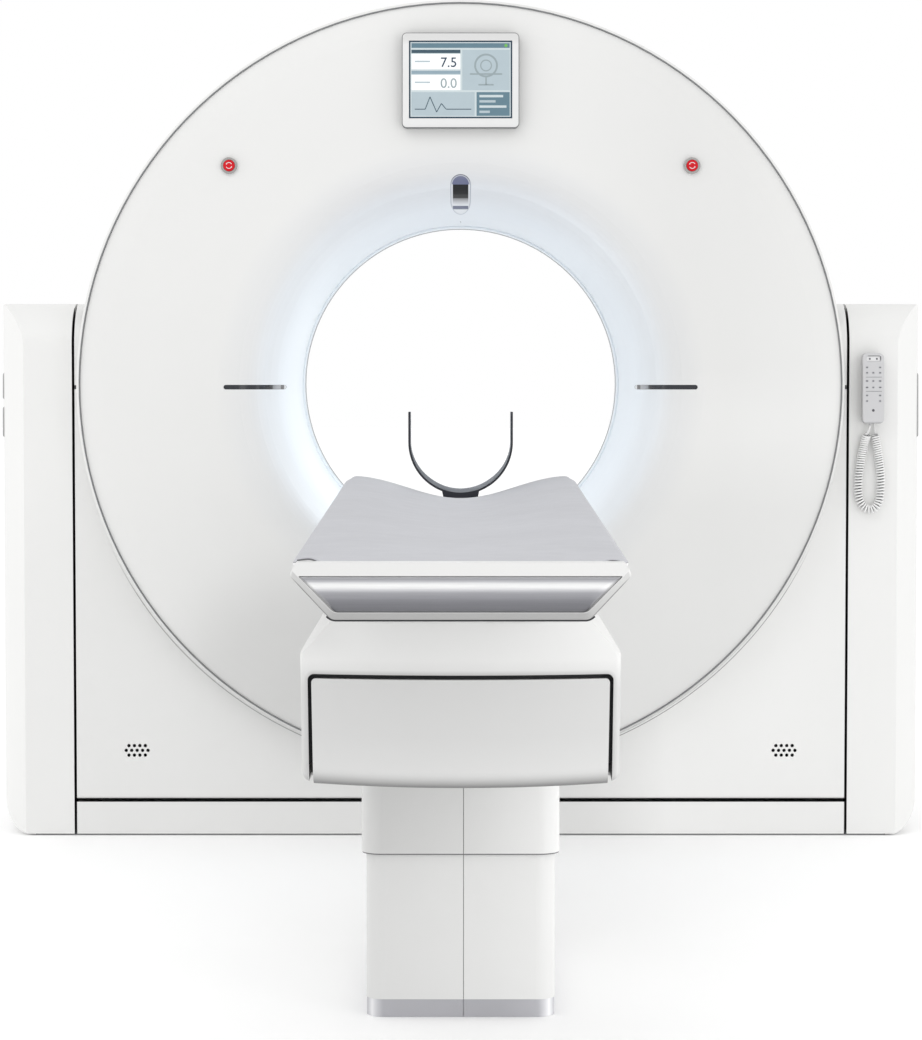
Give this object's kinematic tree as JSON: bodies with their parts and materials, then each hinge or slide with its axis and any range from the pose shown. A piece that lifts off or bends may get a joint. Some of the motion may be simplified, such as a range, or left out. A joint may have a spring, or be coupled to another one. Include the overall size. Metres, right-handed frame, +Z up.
{
  "type": "ct scanner",
  "caption": "Medical imaging scanner: round tilting gantry with a central bore and hidden rotor, between side columns, with a lifting, travelling patient couch in front.",
  "frame": {"origin": "on the floor, under the middle of the whole outline", "axes": "+Z up, +Y from the couch's foot end towards the back of the gantry, +X to the right seen from the couch's foot end"},
  "size_m": [1.9854, 3.2658, 1.7805],
  "materials": {
    "cover_white": "satin painted plastic cover",
    "couch_white": "satin painted plastic cover",
    "trim_grey": "satin grey",
    "liner": "smooth",
    "display_white": "gloss",
    "screen_glass": "lit screen under a clear face",
    "window_dark": "smoked window",
    "collar_metal": "satin",
    "button_red": "gloss",
    "foot_silver": "brushed lengthwise",
    "mattress_cloth": "coated cloth",
    "carbon": "satin fibre laminate",
    "handset_grey": "fine texture",
    "cord_grey": "smooth",
    "steel_frame": "powder coat",
    "cast_frame": "as cast",
    "bright_steel": "ground",
    "motor_black": "satin black",
    "unit_painted": "hammered paint"
  },
  "bodies": {
    "base": {"gantry_base_frame": "steel_frame", "tilt_stand_left": "steel_frame", "tilt_stand_right": "steel_frame", "tilt_gearmotor": "motor_black", "column_cover_left": "cover_white", "column_cover_right": "cover_white", "kick_panel_front": "cover_white", "kick_panel_rear": "cover_white", "handset_holder": "handset_grey", "handset": "handset_grey", "handset_lead_top": "cord_grey", "handset_cord_coil": "cord_grey", "handset_lead_return": "cord_grey", "couch_base_plate": "steel_frame", "base_skirt": "trim_grey", "lower_sleeve_left": "couch_white", "lower_sleeve_right": "couch_white", "lift_column_outer": "steel_frame", "floor_cable_duct": "steel_frame"},
    "gantry": {"tilt_frame": "cast_frame", "main_bearing": "bright_steel", "drive_stator": "motor_black", "front_cover": "cover_white", "rear_cover": "cover_white", "front_trim_ring": "trim_grey", "bore_liner": "liner", "drum_shroud": "cover_white", "lower_cover_front": "cover_white", "lower_cover_rear": "cover_white", "display_housing": "display_white", "display_screen": "screen_glass", "laser_window_top": "window_dark", "laser_window_left": "window_dark", "laser_window_right": "window_dark", "estop_collar_left": "collar_metal", "estop_collar_right": "collar_metal"},
    "rotor": {"rotor_frame": "cast_frame", "xray_tube": "unit_painted", "hv_generator": "unit_painted", "tube_cooler": "unit_painted", "detector_array": "unit_painted", "slip_ring": "bright_steel"},
    "estop_left": {"estop_button_left": "button_red"},
    "estop_right": {"estop_button_right": "button_red"},
    "couch_lift_part": {"upper_sleeve_left": "couch_white", "upper_sleeve_right": "couch_white", "couch_housing": "couch_white", "couch_front_panel": "couch_white", "couch_frame": "steel_frame", "lift_column_inner": "steel_frame", "travel_gearmotor": "motor_black", "guide_carriage_left": "bright_steel", "guide_carriage_right": "bright_steel"},
    "tabletop": {"table_subframe": "steel_frame", "cradle": "carbon", "mattress": "mattress_cloth", "foot_fascia": "couch_white", "foot_panel": "foot_silver", "head_holder": "carbon", "head_holder_mount": "carbon"}
  },
  "joints": [
    {"name": "gantry_tilt", "type": "hinge", "parent": "base", "child": "gantry", "pos_m": [0, 1.2025, 0.965], "axis": [-1, 0, 0], "range_deg": [-20, 20]},
    {"name": "rotor_spin", "type": "hinge", "parent": "gantry", "child": "rotor", "pos_m": [0, 1.2025, 0.965], "axis": [0, 1, 0], "continuous": true},
    {"name": "estop_left_press", "type": "slide", "parent": "gantry", "child": "estop_left", "axis": [0, 1, 0], "range_m": [0, 0.0045], "stiffness_N_per_m": 2500, "springref_m": -0.002},
    {"name": "estop_right_press", "type": "slide", "parent": "gantry", "child": "estop_right", "axis": [0, 1, 0], "range_m": [0, 0.0045], "stiffness_N_per_m": 2500, "springref_m": -0.002},
    {"name": "couch_lift", "type": "slide", "parent": "base", "child": "couch_lift_part", "axis": [0, 0, 1], "range_m": [-0.21, 0.1]},
    {"name": "couch_travel", "type": "slide", "parent": "couch_lift_part", "child": "tabletop", "axis": [0, 1, 0], "range_m": [0, 1.35]}
  ]
}
